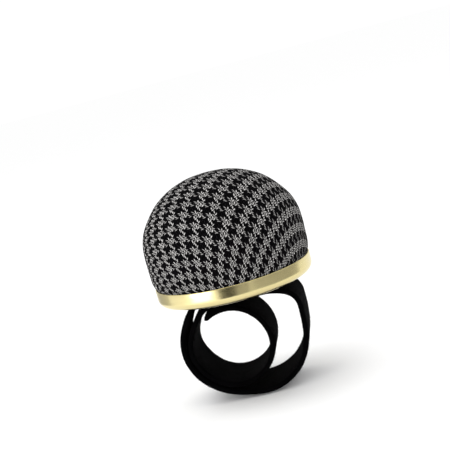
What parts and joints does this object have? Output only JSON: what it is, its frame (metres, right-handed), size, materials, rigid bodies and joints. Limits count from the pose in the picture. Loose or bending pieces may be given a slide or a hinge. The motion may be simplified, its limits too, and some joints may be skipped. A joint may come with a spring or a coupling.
{
  "type": "wrist pin cushion",
  "caption": "Domed pin cushion covered in houndstooth cloth, set in a shallow metal rim cup on a self-curling velvet-sleeved spring strap that wraps round the wrist.",
  "frame": {"origin": "centre of the round stretch of the coiled strap, where the wrist goes, midway across the strap's width", "axes": "+Y along the wrist, +Z from the wrist towards the top of the cushion, +X towards the outer arm of the strap"},
  "size_m": [0.072, 0.072, 0.0985],
  "materials": {
    "houndstooth": "woven houndstooth in light grey and near black",
    "filling": "white fibre filling",
    "thread": "dark gathering thread",
    "board": "stiff pale board",
    "champagne_metal": "satin champagne gold",
    "black_plastic": "matt black plastic",
    "steel": "cold rolled spring steel",
    "velvet": "black brushed velvet with a short pile"
  },
  "bodies": {
    "cushion": {"houndstooth_cover": "houndstooth", "fibre_filling": "filling", "gather_thread": "thread", "needle_guard": "board", "rim_cup": "champagne_metal", "base_disc": "black_plastic", "strap_pad": "black_plastic", "strap_rivets": "steel", "sleeve_centre": "velvet", "spring_centre": "steel"},
    "outer_link_1": {"sleeve_outer_1": "velvet", "spring_outer_1": "steel"},
    "outer_link_2": {"sleeve_outer_2": "velvet", "spring_outer_2": "steel"},
    "outer_link_3": {"sleeve_outer_3": "velvet", "spring_outer_3": "steel"},
    "outer_link_4": {"sleeve_outer_4": "velvet", "spring_outer_4": "steel"},
    "outer_link_5": {"sleeve_outer_5": "velvet", "spring_outer_5": "steel"},
    "outer_link_6": {"sleeve_outer_6": "velvet", "spring_outer_6": "steel"},
    "outer_link_7": {"sleeve_outer_7": "velvet", "spring_outer_7": "steel"},
    "outer_link_8": {"sleeve_outer_8": "velvet", "spring_outer_8": "steel"},
    "outer_link_9": {"sleeve_outer_9": "velvet", "spring_outer_9": "steel"},
    "outer_link_10": {"sleeve_outer_10": "velvet", "spring_outer_10": "steel"},
    "outer_link_11": {"sleeve_outer_11": "velvet", "spring_outer_11": "steel"},
    "inner_link_1": {"sleeve_inner_1": "velvet", "spring_inner_1": "steel"},
    "inner_link_2": {"sleeve_inner_2": "velvet", "spring_inner_2": "steel"},
    "inner_link_3": {"sleeve_inner_3": "velvet", "spring_inner_3": "steel"},
    "inner_link_4": {"sleeve_inner_4": "velvet", "spring_inner_4": "steel"},
    "inner_link_5": {"sleeve_inner_5": "velvet", "spring_inner_5": "steel"},
    "inner_link_6": {"sleeve_inner_6": "velvet", "spring_inner_6": "steel"},
    "inner_link_7": {"sleeve_inner_7": "velvet", "spring_inner_7": "steel"},
    "inner_link_8": {"sleeve_inner_8": "velvet", "spring_inner_8": "steel"},
    "inner_link_9": {"sleeve_inner_9": "velvet", "spring_inner_9": "steel"},
    "inner_link_10": {"sleeve_inner_10": "velvet", "spring_inner_10": "steel"},
    "inner_link_11": {"sleeve_inner_11": "velvet", "spring_inner_11": "steel"}
  },
  "joints": [
    {"name": "outer_hinge_1", "type": "hinge", "parent": "cushion", "child": "outer_link_1", "pos_m": [0.01826, 0, 0.02063], "axis": [0, -1, 0], "range_deg": [0, 7.02]},
    {"name": "outer_hinge_2", "type": "hinge", "parent": "outer_link_1", "child": "outer_link_2", "pos_m": [0.02797, 0, 0.01857], "axis": [0, -1, 0], "range_deg": [0, 44]},
    {"name": "outer_hinge_3", "type": "hinge", "parent": "outer_link_2", "child": "outer_link_3", "pos_m": [0.03274, 0, 0.01149], "axis": [0, -1, 0], "range_deg": [0, 36.52]},
    {"name": "outer_hinge_4", "type": "hinge", "parent": "outer_link_3", "child": "outer_link_4", "pos_m": [0.03222, 0, -0.00049], "axis": [0, -1, 0], "range_deg": [0, 17.02]},
    {"name": "outer_hinge_5", "type": "hinge", "parent": "outer_link_4", "child": "outer_link_5", "pos_m": [0.02825, 0, -0.01171], "axis": [0, -1, 0], "range_deg": [0, 28.02]},
    {"name": "outer_hinge_6", "type": "hinge", "parent": "outer_link_5", "child": "outer_link_6", "pos_m": [0.01951, 0, -0.01972], "axis": [0, -1, 0], "range_deg": [0, 30.52]},
    {"name": "outer_hinge_7", "type": "hinge", "parent": "outer_link_6", "child": "outer_link_7", "pos_m": [0.0079, 0, -0.02218], "axis": [0, -1, 0], "range_deg": [0, 22.02]},
    {"name": "outer_hinge_8", "type": "hinge", "parent": "outer_link_7", "child": "outer_link_8", "pos_m": [-0.00389, 0, -0.02011], "axis": [0, -1, 0], "range_deg": [0, 19.52]},
    {"name": "outer_hinge_9", "type": "hinge", "parent": "outer_link_8", "child": "outer_link_9", "pos_m": [-0.01425, 0, -0.01424], "axis": [0, -1, 0], "range_deg": [0, 27.52]},
    {"name": "outer_hinge_10", "type": "hinge", "parent": "outer_link_9", "child": "outer_link_10", "pos_m": [-0.02071, 0, -0.00429], "axis": [0, -1, 0], "range_deg": [0, 32.02]},
    {"name": "outer_hinge_11", "type": "hinge", "parent": "outer_link_10", "child": "outer_link_11", "pos_m": [-0.02092, 0, 0.00753], "axis": [0, -1, 0], "range_deg": [0, 31.02]},
    {"name": "inner_hinge_1", "type": "hinge", "parent": "cushion", "child": "inner_link_1", "pos_m": [-0.00174, 0, 0.02063], "axis": [0, 1, 0], "range_deg": [0, 19.02]},
    {"name": "inner_hinge_2", "type": "hinge", "parent": "inner_link_1", "child": "inner_link_2", "pos_m": [-0.0115, 0, 0.01629], "axis": [0, 1, 0], "range_deg": [0, 33.52]},
    {"name": "inner_hinge_3", "type": "hinge", "parent": "inner_link_2", "child": "inner_link_3", "pos_m": [-0.01738, 0, 0.00705], "axis": [0, 1, 0], "range_deg": [0, 31.52]},
    {"name": "inner_hinge_4", "type": "hinge", "parent": "inner_link_3", "child": "inner_link_4", "pos_m": [-0.01757, 0, -0.00368], "axis": [0, 1, 0], "range_deg": [0, 35.52]},
    {"name": "inner_hinge_5", "type": "hinge", "parent": "inner_link_4", "child": "inner_link_5", "pos_m": [-0.0114, 0, -0.01266], "axis": [0, 1, 0], "range_deg": [0, 32.02]},
    {"name": "inner_hinge_6", "type": "hinge", "parent": "inner_link_5", "child": "inner_link_6", "pos_m": [-0.00148, 0, -0.01697], "axis": [0, 1, 0], "range_deg": [0, 37.02]},
    {"name": "inner_hinge_7", "type": "hinge", "parent": "inner_link_6", "child": "inner_link_7", "pos_m": [0.00903, 0, -0.01445], "axis": [0, 1, 0], "range_deg": [0, 37.02]},
    {"name": "inner_hinge_8", "type": "hinge", "parent": "inner_link_7", "child": "inner_link_8", "pos_m": [0.0159, 0, -0.0061], "axis": [0, 1, 0], "range_deg": [0, 37.02]},
    {"name": "inner_hinge_9", "type": "hinge", "parent": "inner_link_8", "child": "inner_link_9", "pos_m": [0.01637, 0, 0.0047], "axis": [0, 1, 0], "range_deg": [0, 36.02]},
    {"name": "inner_hinge_10", "type": "hinge", "parent": "inner_link_9", "child": "inner_link_10", "pos_m": [0.0104, 0, 0.01373], "axis": [0, 1, 0], "range_deg": [0, 37.02]},
    {"name": "inner_hinge_11", "type": "hinge", "parent": "inner_link_10", "child": "inner_link_11", "pos_m": [0.00023, 0, 0.01733], "axis": [0, 1, 0], "range_deg": [0, 37.02]}
  ],
  "couplings": [
    {"joint": "outer_hinge_1", "follows": "outer_hinge_2", "ratio": 0.15909},
    {"joint": "outer_hinge_3", "follows": "outer_hinge_2", "ratio": 0.82954},
    {"joint": "outer_hinge_4", "follows": "outer_hinge_2", "ratio": 0.38636},
    {"joint": "outer_hinge_5", "follows": "outer_hinge_2", "ratio": 0.63636},
    {"joint": "outer_hinge_6", "follows": "outer_hinge_2", "ratio": 0.69318},
    {"joint": "outer_hinge_7", "follows": "outer_hinge_2", "ratio": 0.5},
    {"joint": "outer_hinge_8", "follows": "outer_hinge_2", "ratio": 0.44318},
    {"joint": "outer_hinge_9", "follows": "outer_hinge_2", "ratio": 0.625},
    {"joint": "outer_hinge_10", "follows": "outer_hinge_2", "ratio": 0.72727},
    {"joint": "outer_hinge_11", "follows": "outer_hinge_2", "ratio": 0.70454},
    {"joint": "inner_hinge_1", "follows": "outer_hinge_2", "ratio": 0.43182},
    {"joint": "inner_hinge_2", "follows": "outer_hinge_2", "ratio": 0.76136},
    {"joint": "inner_hinge_3", "follows": "outer_hinge_2", "ratio": 0.71591},
    {"joint": "inner_hinge_4", "follows": "outer_hinge_2", "ratio": 0.80682},
    {"joint": "inner_hinge_5", "follows": "outer_hinge_2", "ratio": 0.72727},
    {"joint": "inner_hinge_6", "follows": "outer_hinge_2", "ratio": 0.84091},
    {"joint": "inner_hinge_7", "follows": "outer_hinge_2", "ratio": 0.84091},
    {"joint": "inner_hinge_8", "follows": "outer_hinge_2", "ratio": 0.84091},
    {"joint": "inner_hinge_9", "follows": "outer_hinge_2", "ratio": 0.81818},
    {"joint": "inner_hinge_10", "follows": "outer_hinge_2", "ratio": 0.84091},
    {"joint": "inner_hinge_11", "follows": "outer_hinge_2", "ratio": 0.84091}
  ]
}
